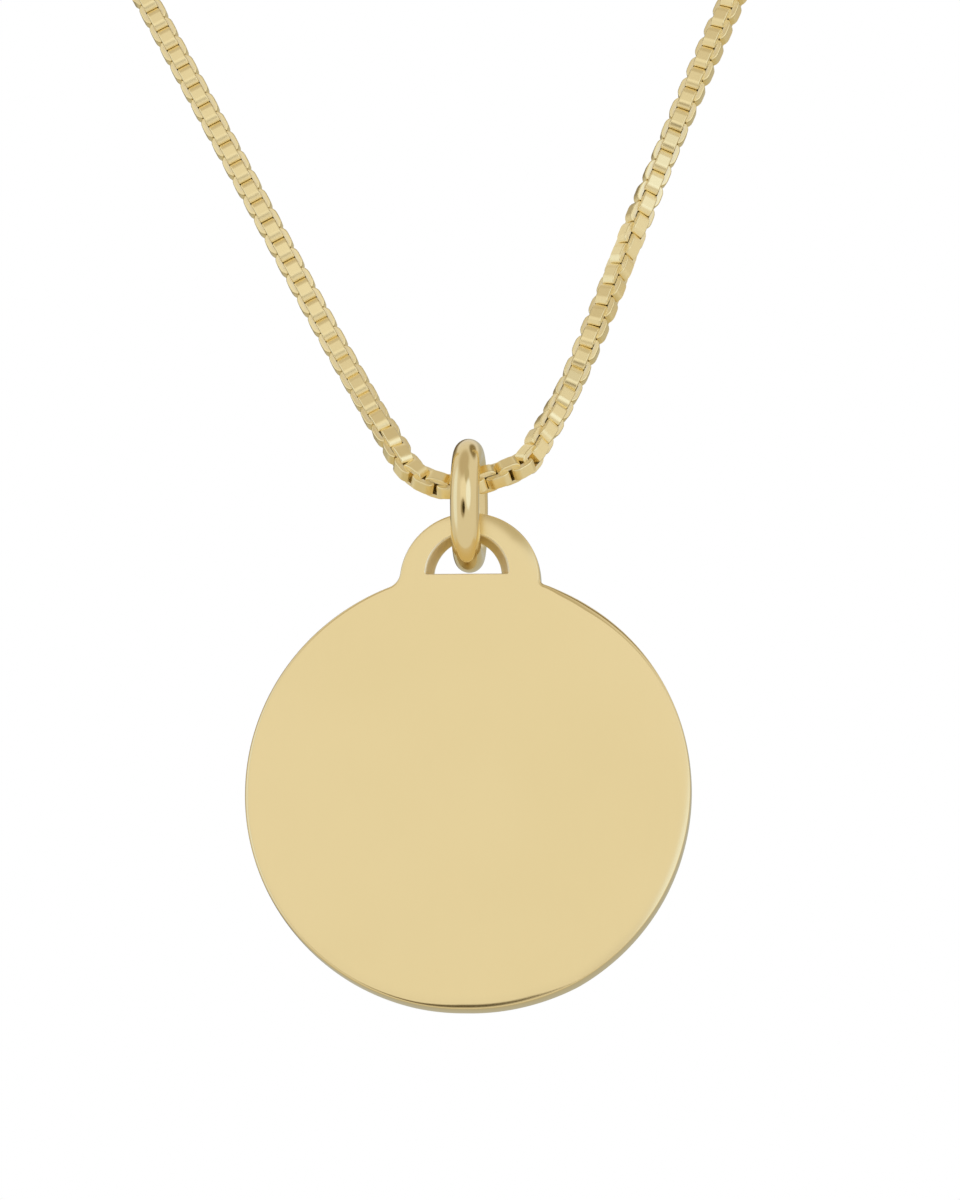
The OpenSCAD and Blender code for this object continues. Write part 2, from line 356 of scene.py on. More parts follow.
def eye_section(tag):
    """The eye's wall from the back face to the front face: height above the middle plane, half width and
    height of the arch, and growth. The wall is tightest halfway and opens as a power of |height| to the
    faces, and a quarter circle rounds each end: growth = r * (1 - sin a), height = half thickness -
    r * (1 - cos a)."""
    half = TAG_THICKNESS / 2
    turn = np.linspace(0, math.pi / 2, EDGE_STEPS)
    end_y = half - tag.eye_edge * (1 - np.cos(turn))
    end_grown = tag.eye_edge * (1 - np.sin(turn))
    inner_y = np.linspace(end_y[-1], -end_y[-1], WALL_STEPS)[1:-1]
    height = np.concatenate([end_y, inner_y, -end_y[::-1]])
    grown = np.concatenate([end_grown, 0 * inner_y, end_grown[::-1]])
    opened = (np.abs(height) / half) ** WALL_POWER
    face_radius = tag.eye_radius + tag.eye_flare
    wall = face_radius - tag.eye_side_flare * (1 - opened)
    return height, wall, tag.eye_radius + tag.eye_flare * opened, grown


def tag_surface(tag):
    """The whole tag as one closed grid: across the front face from the eye to the outline, over the rim,
    back across the rear face and through the eye's wall. With s from 0 at the eye to 1 at the rim, the
    faces' columns go as s^(1 + b) sideways and s^(1 - b) upwards, where the bend b keeps those under the
    tab clear of its feet. Returns points, normals, edge and inside amounts."""
    outline = plate_outline(tag)
    heading = outline[:, 3:4] * stacked(np.cos(outline[:, 4]), np.sin(outline[:, 4]))
    finish = rim_finish(tag, outline)
    inset, height, slope = edge_profile(tag, *finish[:4])
    wall_y, wall_x, wall_z, grown = eye_section(tag)
    eye, eye_heading = eye_loop(tag, wall_x, wall_z, grown)
    eye[..., 0] -= tag.eye_shift
    inset = np.concatenate([inset, inset[-2::-1]]) - finish[4]
    side = np.concatenate([-height, height[-2::-1]])
    slope = np.concatenate([slope, math.pi - slope[-2::-1]])
    rim = outline_at(outline, inset)
    share = (np.arange(1, FACE_ROWS) / FACE_ROWS)[:, None]
    ramp = (np.arange(WEB_STEPS) + 1) / (WEB_STEPS + 1)
    bend = FACE_BEND * np.concatenate([np.zeros(TAB_STEPS), ramp, np.ones(DISC_STEPS), ramp[::-1]])
    spread = stacked(share ** (1 + bend), share ** (1 - bend))
    front = eye[-1] + (rim[0] - eye[-1]) * spread
    rear = eye[0] + (rim[-1] - eye[0]) * spread[::-1]
    flat = np.concatenate([front, rim, rear, eye])
    columns = len(outline)
    half = TAG_THICKNESS / 2
    face_y = np.full((FACE_ROWS - 1, columns), half)
    wall = np.broadcast_to(wall_y[:, None], (len(wall_y), columns))
    y = np.concatenate([-face_y, side, face_y, wall])
    points = TAG_CENTRE + stacked(flat[..., 0], y, flat[..., 1])

    out = np.sin(slope)[..., None] * heading
    rim_normals = stacked(out[..., 0], -np.cos(slope), out[..., 1])
    face_normals = np.broadcast_to(FACE, front.shape[:2] + (3,))
    along_y = np.gradient(wall_y)[:, None]
    along_out = np.sum(np.gradient(eye, axis=0) * eye_heading, axis=-1)
    eye_normals = unit(stacked(along_y * eye_heading[..., 0], -along_out, along_y * eye_heading[..., 1]))
    eye_normals[0] = -FACE
    eye_normals[-1] = FACE
    normals = np.concatenate([face_normals, rim_normals, -face_normals, eye_normals])

    edge = np.concatenate([0 * face_y, np.sin(slope) ** 2, 0 * face_y, 0 * wall])
    inside = np.zeros_like(edge)
    inside[-len(wall_y) + 1:-1] = 1
    return points, normals, edge, inside


def grid_piece(name, points, normals, close_rows, close_columns):
    """An object from a grid of points and their normals."""
    faces = grid_faces(points.shape[0], points.shape[1], close_rows, close_columns)
    flat_normals = normals.reshape(-1, 3)
    return put_mesh(name, points.reshape(-1, 3), [faces], flat_normals[faces.ravel()])


def turned_piece(name, points, normals):
    """An object from a grid of closed rows whose first and last rows are single points: each of them
    becomes one pole, and the quads beside it become triangles."""
    rows, columns = points.shape[:2]
    last_pole = (rows - 2) * columns + 1
    index = np.clip(np.arange(rows * columns) - columns + 1, 0, last_pole)
    faces = index[grid_faces(rows, columns, close_columns=True)]
    face_sets = [faces[:columns, :3], faces[columns:-columns], faces[-columns:, [0, 1, 3]]]
    kept = slice(columns - 1, columns + last_pole)
    corners = np.concatenate([faces.ravel() for faces in face_sets])
    return put_mesh(name, points.reshape(-1, 3)[kept], face_sets, normals.reshape(-1, 3)[kept][corners])


def ring_surface():
    """A ring of round wire in the YZ plane: centre + (middle radius + r cos b) * (cos a along -Y, sin a
    along Z) - r sin b along X."""
    wire = RING_WIRE / 2
    a = (np.arange(RING_AROUND) * 2 * math.pi / RING_AROUND)[:, None]
    b = (np.arange(RING_ACROSS) * 2 * math.pi / RING_ACROSS)[None, :]
    outward = stacked(0, -np.cos(a), np.sin(a))
    sideways = np.array([-1.0, 0.0, 0.0])
    normals = np.cos(b)[..., None] * outward + np.sin(b)[..., None] * sideways
    points = RING_CENTRE + (RING_OUTER - wire) * outward + wire * normals
    return points, normals


def rounded_profile(corners, radii, steps):
    """A line through the corners, where each inner corner is replaced by an arc of its own radius that
    touches both of its lines. The arc's centre lies on the corner's bisector."""
    corners = np.asarray(corners, float)
    line = [corners[:1]]
    for before, corner, after, radius in zip(corners, corners[1:], corners[2:], radii):
        to_before, to_after = unit(before - corner), unit(after - corner)
        half = math.acos(float(to_before @ to_after)) / 2
        centre = corner + unit(to_before + to_after) * radius / math.sin(half)
        start = corner + to_before * radius / math.tan(half)
        stop = corner + to_after * radius / math.tan(half)
        share = np.linspace(0, 1, steps)[:, None]
        chord = (start - centre) * (1 - share) + (stop - centre) * share
        line.append(centre + radius * unit(chord))
    line.append(corners[-1:])
    return np.concatenate(line)


def clasp_surface(clasp):
    """The barrel turned about X: its half section runs from the floor of one socket, over the collar and
    the body with its middle groove, to the floor of the other, and each point moves on a circle."""
    end = CLASP_LENGTH / 2
    body = end - clasp.collar_length
    radius = CLASP_WIDTH / 2
    groove = clasp.seam_width / 2
    half = [
        (-clasp.socket_floor, 0), (-clasp.socket_floor, clasp.socket_radius),
        (-end, clasp.socket_radius), (-end, clasp.collar_radius), (-body, clasp.collar_radius),
        (-body, radius), (-groove, radius), (-groove, radius - clasp.seam_depth),
    ]
    corners = half + [(-x, r) for x, r in reversed(half)]
    small = clasp.edge_radius
    radii = [small / 2, small, small, small / 2, clasp.end_radius, small / 2, small / 2]
    profile = rounded_profile(corners, radii + radii[::-1], PROFILE_STEPS)
    profile[[0, -1], 1] = 0
    along = np.gradient(profile, axis=0)
    out = unit(stacked(-along[:, 1], along[:, 0]))
    out[0] = (-1, 0)
    out[-1] = (1, 0)
    turn = np.arange(CLASP_AROUND) * 2 * math.pi / CLASP_AROUND
    middle = (CLASP_LOW + CLASP_HIGH) / 2

    def spin(line):
        along_x, reach = line[:, :1], line[:, 1:]
        return stacked(along_x, reach * np.cos(turn), -reach * np.sin(turn))

    return middle + spin(profile), spin(out)


def route_samples(per_span):
    """Points and unit directions along the route: on each span the cubic that leaves and meets its two
    points along their directions, where a point's direction weighs its shorter span more."""
    span = np.diff(CHAIN_ROUTE, axis=0)
    length = np.linalg.norm(span, axis=1)
    step = span / length[:, None]
    aim = np.empty_like(CHAIN_ROUTE)
    aim[[0, -1]] = ROUTE_END_DIRECTION
    before, after = length[:-1, None], length[1:, None]
    aim[1:-1] = (step[:-1] * after + step[1:] * before) / (before + after)
    u = (np.arange(per_span) / per_span)[None, :, None]
    start, stop = CHAIN_ROUTE[:-1, None], CHAIN_ROUTE[1:, None]
    leave, meet = (length[:, None] * aim[:-1])[:, None], (length[:, None] * aim[1:])[:, None]
    square = 3 * (stop - start) - 2 * leave - meet
    cube = 2 * (start - stop) + leave + meet
    points = start + u * (leave + u * (square + u * cube))
    slopes = leave + u * (2 * square + 3 * u * cube)
    points = np.concatenate([points.reshape(-1, 3), CHAIN_ROUTE[-1:]])
    slopes = np.concatenate([slopes.reshape(-1, 3), ROUTE_END_DIRECTION[None]])
    return points, unit(slopes)


def link_stations(chain, side):
    """Where the links of one half stand: centre, direction, face and side of each, counted from the
    lowest point. The halves meet a little to the left of it, the near links lie a little closer, and the
    others' pitch is fitted so that the last link ends at the clasp."""
    points, slopes = route_samples(ROUTE_STEPS)
    travel = np.concatenate([[0], np.cumsum(np.linalg.norm(np.diff(points, axis=0), axis=1))])
    low = travel[ROUTE_LOW * ROUTE_STEPS]
    first = chain.pitch / 2 - side * chain.meeting
    last = (low if side < 0 else travel[-1] - low) - CHAIN_END - chain.link_length / 2
    near_last = first + NEAR_LINKS * chain.near_pitch
    count = NEAR_LINKS + round((last - near_last) / chain.pitch)
    distance = np.interp(np.arange(count + 1), (0, NEAR_LINKS, count), (first, near_last, last))
    at = low + side * distance
    centre = stacked(*(np.interp(at, travel, line) for line in points.T))
    along = unit(stacked(*(np.interp(at, travel, line) for line in slopes.T)))
    facing, beside = link_frame(centre, along)
    twist = LEFT_TWIST if side < 0 else RIGHT_TWIST
    turn = np.radians(np.interp(distance / MM, twist["distance"], twist["turn"]))[:, None]
    face = facing * np.cos(turn) + beside * np.sin(turn)
    return distance, centre, along, face, np.cross(along, face)


def link_frame(centre, along):
    """The direction square to the chain that faces the photograph's camera, and the one beside it. Round
    the neck, where the chain runs towards the camera, it turns over to face away from the loop's middle."""
    to_camera = TO_CAMERA - (along @ TO_CAMERA)[:, None] * along
    away = centre - LOOP_MIDDLE
    away = unit(away - np.sum(away * along, axis=1, keepdims=True) * along)
    share = np.clip((centre[:, 1:2] - BLEND_BACK) / (BLEND_FRONT - BLEND_BACK), 0, 1)
    share = share * share * (3 - 2 * share)
    facing = unit(share * unit(to_camera) + (1 - share) * away)
    return facing, np.cross(along, facing)


def link_shape(chain, crown_steps, bevel):
    """One box link: a strip bent into a rectangle. Its faces fall towards their ends on a wide arc up to
    the crown slope, and a tight arc turns into the flat end. Its stations run round the rectangle, and
    its section has the strip's two faces, its cut edges and, where bevel is above 0, a rounded edge on
    each side of the outer face. The axes run along the chain, out of the strip's face and across it.
    Returns points by station and rim, normals at both sides of each band, and edge and inside amounts."""
    crown = chain.crown_slope
    turn = math.pi / 2 - crown
    tight = chain.corner_outer
    wide = tight + (chain.crown_length - tight) / math.sin(crown)
    step = np.concatenate([[0], turn + crown * np.linspace(0, 1, crown_steps + 1)])
    local = np.concatenate([step, step[::-1], step, step[::-1]])
    on_crown = local >= turn
    sign = np.repeat([(1, 1), (-1, 1), (-1, -1), (1, -1)], len(step), axis=0)
    heading = sign * stacked(np.cos(local), np.sin(local))

    def line(inwards, tight_radius, wide_radius):
        length, width = chain.link_length / 2 - inwards, chain.link_width / 2 - inwards
        spare = wide_radius - tight_radius
        middle = np.where(
            on_crown[:, None],
            (length - tight_radius - spare * math.sin(crown), width - wide_radius),
            (length - tight_radius, width - wide_radius + spare * math.cos(crown)),
        )
        return sign * middle + np.where(on_crown, wide_radius, tight_radius)[:, None] * heading

    outer = line(0, tight, wide)
    inner = line(chain.strip_thickness, chain.corner_inner, chain.corner_inner)
    shoulder = line(bevel, tight - bevel, wide - bevel)
    half_strip = chain.strip_width / 2
    if bevel > 0:
        rims = ((outer, bevel - half_strip), (outer, half_strip - bevel), (shoulder, half_strip),
                (inner, half_strip), (inner, -half_strip), (shoulder, -half_strip))
        band_starts = ((1, 0), (1, 0), (0, 1), (-1, 0), (0, -1), (0, -1))
        band_stops = ((1, 0), (0, 1), (0, 1), (-1, 0), (0, -1), (1, 0))
        worn = (FINE_WORN, FINE_WORN, 1, 0, 0, 1)
        hidden = (0, 0, 0, 1, 1, 0)
    else:
        rims = ((outer, -half_strip), (outer, half_strip), (inner, half_strip), (inner, -half_strip))
        band_starts = band_stops = ((1, 0), (0, 1), (-1, 0), (0, -1))
        worn = (PLAIN_WORN, PLAIN_WORN, 0, 0)
        hidden = (0, 0, 1, 1)
    points = np.stack([stacked(*rim.T, across) for rim, across in rims], axis=1)
    out, across = np.array([band_starts, band_stops], float).T
    normals = stacked(heading[:, 0, None, None] * out, heading[:, 1, None, None] * out, across)
    wear = np.broadcast_to(np.array([worn, hidden], float)[:, None], (2,) + points.shape[:2])
    return points, normals, wear


def link_chain(name, chain, side):
    """One half of the chain: the same link at every station, turned a quarter from each to the next.
    Links nearer to the lowest point than the near reach have the finer shape."""
    distance, centre, along, face, beside = link_stations(chain, side)
    first_turned = 1 if side < 0 else 0
    turned = (np.arange(len(centre)) + first_turned) % 2 == 1
    out = np.where(turned[:, None], beside, face)
    axes = np.stack([along, out, np.cross(along, out)], axis=1)
    fine = distance < chain.fine_reach
    parts = []
    used = 0
    for chosen, crown_steps, bevel in ((fine, FINE_STEPS, chain.edge_bevel), (~fine, PLAIN_STEPS, 0.0)):
        shape, shape_normals, shape_wear = link_shape(chain, crown_steps, bevel)
        stations, rims = shape.shape[:2]
        faces = grid_faces(stations, rims, True, True)
        band = np.tile(np.arange(rims), stations)[:, None]
        corner_normals = shape_normals[faces // rims, band, np.array([[0, 0, 1, 1]])]
        turn = axes[chosen]
        points = np.einsum("abk,nkc->nabc", shape, turn) + centre[chosen][:, None, None]
        normals = np.einsum("fvk,nkc->nfvc", corner_normals, turn)
        count = len(points)
        offset = used + (np.arange(count) * stations * rims)[:, None, None]
        wear = np.tile(shape_wear.reshape(2, -1), count)
        parts.append((points.reshape(-1, 3), (faces[None] + offset).reshape(-1, 4),
                      normals.reshape(-1, 3), wear.T))
        used += count * stations * rims
    points, faces, normals, wear = (np.concatenate(part) for part in zip(*parts))
    piece = put_mesh(name, points, [faces], normals)
    mark_wear(piece, wear[:, 0], wear[:, 1])
    return piece


def finish_piece(piece, body, nodes, material):
    """Gives a piece its body and its material, and hides the CAD nodes that it stands for."""
    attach(piece, body)
    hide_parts(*nodes)
    piece.data.materials.clear()
    piece.data.materials.append(material)


FLOAT, COLOR, VECTOR = "NodeSocketFloat", "NodeSocketColor", "NodeSocketVector"


def open_group(name, inputs):
    """A shader group with these inputs, each a name and a kind of socket. Returns it and its inputs."""
    group = bpy.data.node_groups.new(name, "ShaderNodeTree")
    for label, kind in inputs.items():
        group.interface.new_socket(label, in_out="INPUT", socket_type=kind)
    return group, group.nodes.new("NodeGroupInput").outputs


def close_group(group, *outputs):
    """Gives the group these outputs, each a name, a kind and the socket that feeds it. Returns it."""
    for label, kind, _ in outputs:
        group.interface.new_socket(label, in_out="OUTPUT", socket_type=kind)
    inputs = group.nodes.new("NodeGroupOutput").inputs
    for label, _, socket in outputs:
        group.links.new(socket, inputs[label])
    return group


def add_node(tree, kind, settings=None, inputs=None):
    """A node with these settings and input values, where an input is a value or a socket to link."""
    node = tree.nodes.new(kind)
    for name, value in (settings or {}).items():
        setattr(node, name, value)
    for name, value in (inputs or {}).items():
        if isinstance(value, bpy.types.NodeSocket):
            tree.links.new(value, node.inputs[name])
        else:
            node.inputs[name].default_value = value
    return node


def math_node(tree, operation, *values):
    """The result of one Math node on these values or sockets."""
    return add_node(tree, "ShaderNodeMath", {"operation": operation}, dict(enumerate(values))).outputs[0]


def mixed(tree, kind, share, first, second):
    """A number or a colour: the first where the share is 0, the second where it is 1."""
    a, b, result = {"FLOAT": (2, 3, 0), "RGBA": (6, 7, 2)}[kind]
    inputs = {0: share, a: first, b: second}
    return add_node(tree, "ShaderNodeMix", {"data_type": kind}, inputs).outputs[result]


def smooth_step(tree, value, low, high, start=0.0, stop=1.0):
    """Runs smoothly from the start, where the value is low, to the stop, where it is high."""
    return add_node(tree, "ShaderNodeMapRange", {"interpolation_type": "SMOOTHSTEP"}, {
        "Value": value, "From Min": low, "From Max": high, "To Min": start, "To Max": stop,
    }).outputs["Result"]


def noise(tree, place, scale, detail, roughness=0.5):
    """Soft noise at a place, from 0 to 1."""
    return add_node(tree, "ShaderNodeTexNoise", None, {
        "Vector": place, "Scale": scale, "Detail": detail, "Roughness": roughness,
    }).outputs["Fac"]


def hairline_group():
    """Fine polishing lines and a soft haze: noise stretched along one axis adds to the roughness and
    gives a height, and a wide noise lets the haze come and go."""
    group, given = open_group("Polishing Hairlines", {
        "Scale": FLOAT, "Roughness": FLOAT, "Haze": FLOAT, "Vector": VECTOR})
    stretched = add_node(group, "ShaderNodeMapping", None, {
        "Vector": given["Vector"], "Rotation": HAIRLINE_TURN, "Scale": HAIRLINE_DENSITY})
    lines = noise(group, stretched.outputs["Vector"], given["Scale"], 3.0, 0.6)
    haze = math_node(group, "MULTIPLY", lines, noise(group, given["Vector"], HAZE_DENSITY, 2.0))
    roughness = math_node(group, "MULTIPLY_ADD", haze, given["Haze"], given["Roughness"])
    return close_group(group, ("Roughness", FLOAT, roughness), ("Height", FLOAT, lines))


def tone_group():
    """Slow drift of the gold's tone: a wide noise draws the colour towards a second one."""
    group, given = open_group("Gold Tone", {
        "Color": COLOR, "Deep Color": COLOR, "Scale": FLOAT, "Vector": VECTOR})
    share = smooth_step(group, noise(group, given["Vector"], given["Scale"], 2.0), 0.35, 0.7)
    color = mixed(group, "RGBA", share, given["Color"], given["Deep Color"])
    return close_group(group, ("Color", COLOR, color))


def wear_group():
    """Burnished edges and satin insides: the stored edge amount draws the roughness towards a smoother
    value, and the stored inside amount draws it and the colour towards those of unpolished metal."""
    group, given = open_group("Polish and Satin", {
        "Roughness": FLOAT, "Edge Roughness": FLOAT, "Inside Roughness": FLOAT, "Color": COLOR,
        "Inside Color": COLOR})
    edge, inside = (
        add_node(group, "ShaderNodeAttribute", {"attribute_name": name}).outputs["Fac"]
        for name in ("edge", "inside")
    )
    burnished = mixed(group, "FLOAT", edge, given["Roughness"], given["Edge Roughness"])
    roughness = mixed(group, "FLOAT", inside, burnished, given["Inside Roughness"])
    color = mixed(group, "RGBA", inside, given["Color"], given["Inside Color"])
    return close_group(group, ("Roughness", FLOAT, roughness), ("Color", COLOR, color))


# The polishing lines: how they are turned, how many there are to a metre along each axis, how strongly
# they show and how deep they are, and how many clouds of haze there are to a metre
HAIRLINE_TURN = (0.0, 0.6, 0.0)
HAIRLINE_DENSITY = (9000.0, 9000.0, 700.0)
HAIRLINE_STRENGTH = 0.1
HAIRLINE_DEPTH = 0.00002 * MM
HAZE_DENSITY = 420.0

# How each gold is finished: its colour's setting, patches of tone to a metre, scale of the hairlines,
# roughness, haze, and roughness of the burnished edges
FINISHES = {
    "Tag Gold": ("plate", 140.0, 1.0, 0.2, 0.08, 0.1),
    "Ring Gold": ("plate", 300.0, 1.0, 0.11, 0.06, 0.11),
    "Chain Gold": ("link", 900.0, 1.3, 0.32, 0.1, 0.28),
    "Clasp Gold": ("plate", 300.0, 1.0, 0.12, 0.08, 0.09),
}
SATIN_ROUGHNESS = 0.45


def gold_material(name):
    """Polished gold: its tone, hairlines, burnished edges and satin insides come from the shared groups,
    each built the first time that it is asked for."""
    tint, tone_scale, hair_scale, roughness, haze, edge_roughness = FINISHES[name]
    gold = bpy.context.scene.pendant_gold
    color, deep_color, satin = getattr(gold, tint), getattr(gold, tint + "_deep"), gold.satin
    material = bpy.data.materials.new(name)
    material.use_nodes = True
    tree = material.node_tree
    shader = tree.nodes["Principled BSDF"]
    shader.inputs["Metallic"].default_value = 1.0
    place = add_node(tree, "ShaderNodeTexCoord").outputs["Object"]

    def shared(group_name, build, inputs):
        group = bpy.data.node_groups.get(group_name) or build()
        return add_node(tree, "ShaderNodeGroup", {"node_tree": group}, inputs).outputs

    tone = shared("Gold Tone", tone_group, {
        "Color": (*color, 1.0), "Deep Color": (*deep_color, 1.0), "Scale": tone_scale, "Vector": place})
    lines = shared("Polishing Hairlines", hairline_group, {
        "Scale": hair_scale, "Roughness": roughness, "Haze": haze, "Vector": place})
    wear = shared("Polish and Satin", wear_group, {
        "Roughness": lines["Roughness"], "Color": tone["Color"], "Edge Roughness": edge_roughness,
        "Inside Color": (*satin, 1.0), "Inside Roughness": SATIN_ROUGHNESS})
    bump = add_node(tree, "ShaderNodeBump", None, {
        "Strength": HAIRLINE_STRENGTH, "Distance": HAIRLINE_DEPTH, "Height": lines["Height"]})
    tree.links.new(wear["Color"], shader.inputs["Base Color"])
    tree.links.new(wear["Roughness"], shader.inputs["Roughness"])
    tree.links.new(bump.outputs["Normal"], shader.inputs["Normal"])
    return material


def mm_size(label, text, value, low=0.0):
    """A length, given in millimetres, which the panel shows in the scene's unit."""
    return bpy.props.FloatProperty(name=label, description=text, default=value * MM, min=low * MM,
                                   unit="LENGTH", precision=6)


def angle_property(label, text, value):
    """A slope, given in degrees, which stays short of flat and upright."""
    return bpy.props.FloatProperty(name=label, description=text, default=math.radians(value),
                                   min=math.radians(20), max=math.radians(88), subtype="ANGLE")


def swatch(label, text, value):
    """A colour that the panel shows as a swatch."""
    return bpy.props.FloatVectorProperty(name=label, description=text, default=value, size=3,
                                         min=0.0, max=1.0, subtype="COLOR")


class PendantGoldSettings(bpy.types.PropertyGroup):
    plate: swatch("Plate Gold", "Gold of the tag, the ring and the clasp", (0.88, 0.71, 0.37))
    plate_deep: swatch("Deep Plate Gold", "Where that gold's tone drifts to", (0.87, 0.7, 0.36))
    link: swatch("Link Gold", "Gold of the chain's links", (1.0, 0.835, 0.45))
    link_deep: swatch("Deep Link Gold", "Where that gold's tone drifts to", (0.98, 0.82, 0.44))
    satin: swatch("Satin Gold", "Gold inside the eye and the links", (0.96, 0.85, 0.58))


class PendantTagSettings(bpy.types.PropertyGroup):
    tab_radius: mm_size("Tab Radius", "Radius of the tab's arc", 2.55)
    web_left: mm_size("Left Web", "Radius of the hollow corner at the left", 0.6)
    web_right: mm_size("Right Web", "Radius of the hollow corner at the right", 0.2)
    roll_width: mm_size("Roll Width", "Width of the faces' soft roll-off", 0.36)
    rim_slope: angle_property("Rim Slope", "Slope where the rim's wide arc begins", 85)
    eye_radius: mm_size("Eye Radius", "Radius of the eye halfway through", 1.33)
    eye_flare: mm_size("Eye Flare", "How much higher the eye is at the faces", 0.17)
    eye_side_flare: mm_size("Eye Side Flare", "How much its sides open to the faces", 0.29)
    eye_flat: mm_size("Eye Flat", "Height of the eye's flat above the disc's centre", TAG_RADIUS / MM - 0.1)
    eye_corner: mm_size("Eye Corner", "Radius of the eye's two corners", 0.07)
    eye_edge: mm_size("Eye Edge", "Radius that rounds the eye's edges", 0.05)
    eye_shift: mm_size("Eye Shift", "How far the eye sits left of the tab's middle", 0.1)


class PendantChainSettings(bpy.types.PropertyGroup):
    link_length: mm_size("Link Length", "Length of one link along the chain", 0.893)
    link_width: mm_size("Link Width", "Width of one link across its strip faces", 0.92)
    strip_width: mm_size("Strip Width", "Width of the strip", 0.52)
    strip_thickness: mm_size("Strip Thickness", "Thickness of the strip", 0.2)
    corner_outer: mm_size("Outer Corner", "Radius that turns a link's end corners", 0.06)
    crown_length: mm_size("Crown Length", "How far from its ends a face begins to fall", 0.3)
    crown_slope: angle_property("Crown Slope", "Slope that a face falls to before its end corner", 51)
    corner_inner: mm_size("Inner Corner", "Inner radius of a link's corners", 0.03)
    edge_bevel: mm_size("Edge Bevel", "Rounding of the near links' outer edges", 0.05)
    pitch: mm_size("Pitch", "Step from link to link", 0.453)
    near_pitch: mm_size("Near Pitch", "The same for each half's first links", 0.447)
    meeting: mm_size("Meeting", "How far left of the low point the halves meet", 0.507)
    fine_reach: mm_size("Near Reach", "How far from the low point links are fine", 25)


class PendantClaspSettings(bpy.types.PropertyGroup):
    collar_length: mm_size("Collar Length", "Length of each end collar", 0.8)
    collar_radius: mm_size("Collar Radius", "Outer radius of the collars", 0.85)
    socket_radius: mm_size("Socket Radius", "Radius of the sockets", 0.55)
    socket_floor: mm_size("Socket Floor", "Distance of the sockets' floors from the middle", 2.5)
    seam_width: mm_size("Seam Width", "Width of the groove in the middle", 0.2)
    seam_depth: mm_size("Seam Depth", "Depth of that groove", 0.15)
    end_radius: mm_size("End Radius", "Radius that rounds the body's ends", 0.5)
    edge_radius: mm_size("Edge Radius", "Radius of the small edges", 0.08)


class PendantStageSettings(bpy.types.PropertyGroup):
    floor_height: mm_size("Floor Height", "Height of the floor under the pendant", -240, -1000)
    floor_width: mm_size("Floor Width", "Width of the square floor", 3000)
    floor_color: swatch("Floor Colour", "Colour of the floor", (0.82, 0.81, 0.79))


class PENDANT_OT_tag(bpy.types.Operator):
    """Builds the round tag with its eye tab"""

    bl_idname = "pendant.tag"
    bl_label = "Disc Tag"

    def execute(self, context):
        points, normals, edge, inside = tag_surface(context.scene.pendant_tag)
        piece = grid_piece("polished_tag", points, normals, True, True)
        mark_wear(piece, edge, inside)
        finish_piece(piece, "disc", ["disc_tag"], gold_material("Tag Gold"))
        return {"FINISHED"}


class PENDANT_OT_ring(bpy.types.Operator):
    """Builds the jump ring"""

    bl_idname = "pendant.ring"
    bl_label = "Jump Ring"

    def execute(self, context):
        points, normals = ring_surface()
        piece = grid_piece("wire_ring", points, normals, True, True)
        finish_piece(piece, "ring", ["jump_ring"], gold_material("Ring Gold"))
        return {"FINISHED"}


class PENDANT_OT_chain(bpy.types.Operator):
    """Lays the links of both halves of the chain along its route"""

    bl_idname = "pendant.chain"
    bl_label = "Box Chain"

    def execute(self, context):
        chain = context.scene.pendant_chain
        material = gold_material("Chain Gold")
        for name, node, side in (("links_left", "chain_left", -1), ("links_right", "chain_right", 1)):
            piece = link_chain(name, chain, side)
            finish_piece(piece, "chain", [node], material)
        return {"FINISHED"}


class PENDANT_OT_clasp(bpy.types.Operator):
    """Turns the barrel clasp"""

    bl_idname = "pendant.clasp"
    bl_label = "Barrel Clasp"

    def execute(self, context):
        points, normals = clasp_surface(context.scene.pendant_clasp)
        piece = turned_piece("barrel_clasp", points, normals)
        finish_piece(piece, "chain", ["clasp"], gold_material("Clasp Gold"))
        return {"FINISHED"}


# Soft zones of the studio that polished metal reflects, each an ellipse: azimuth and elevation of its
# middle, half its width and height, all in degrees, how far out it fades as a share of those, and its
# colour
STUDIO_BASE = (0.78, 0.765, 0.75, 1.0)
STUDIO_ZONES = (
    ("front wall", -5, 15, 14, 14, 2.4, 0.92, 0.92, 0.93),
    ("ceiling", -20, 66, 20, 20, 1.9, 0.56, 0.505, 0.42),
    ("behind", 178, 2, 40, 24, 1.6, 0.5, 0.49, 0.42),
    ("low back", 182, -52, 40, 22, 1.6, 0.54, 0.48, 0.32),
    ("right back", 128, 9, 14, 16, 1.5, 0.6, 0.55, 0.46),
    ("upper right", 22, 40, 12, 12, 1.6, 0.56, 0.52, 0.43),
    ("right gap", 132, 58, 12, 11, 1.8, 0.27, 0.22, 0.13),
    ("left gap", -138, 24, 10, 11, 1.9, 0.36, 0.31, 0.21),
    ("left back", -160, 20, 11, 13, 1.6, 0.16, 0.13, 0.08),
    ("left softbox", -76, 6, 13, 26, 1.7, 0.9, 1.0, 1.2),
    ("right softbox", 34, 7, 15, 19, 1.5, 1.0, 1.13, 1.42),
    ("camera", -9, -18, 14, 13, 1.5, 0.4, 0.35, 0.27),
    ("lens", -4, -17, 8, 8, 1.6, 0.04, 0.03, 0.01),
)

# The lamps that light the floor: azimuth and elevation in degrees, distance, width and height in metres,
# and power in watts
LAMPS = {
    "Key Light": (-40, 35, 0.7, 0.5, 0.5, 3.0),
    "Fill Light": (50, 20, 0.8, 0.5, 0.6, 2.0),
}
FLOOR_ROUGHNESS = 0.7


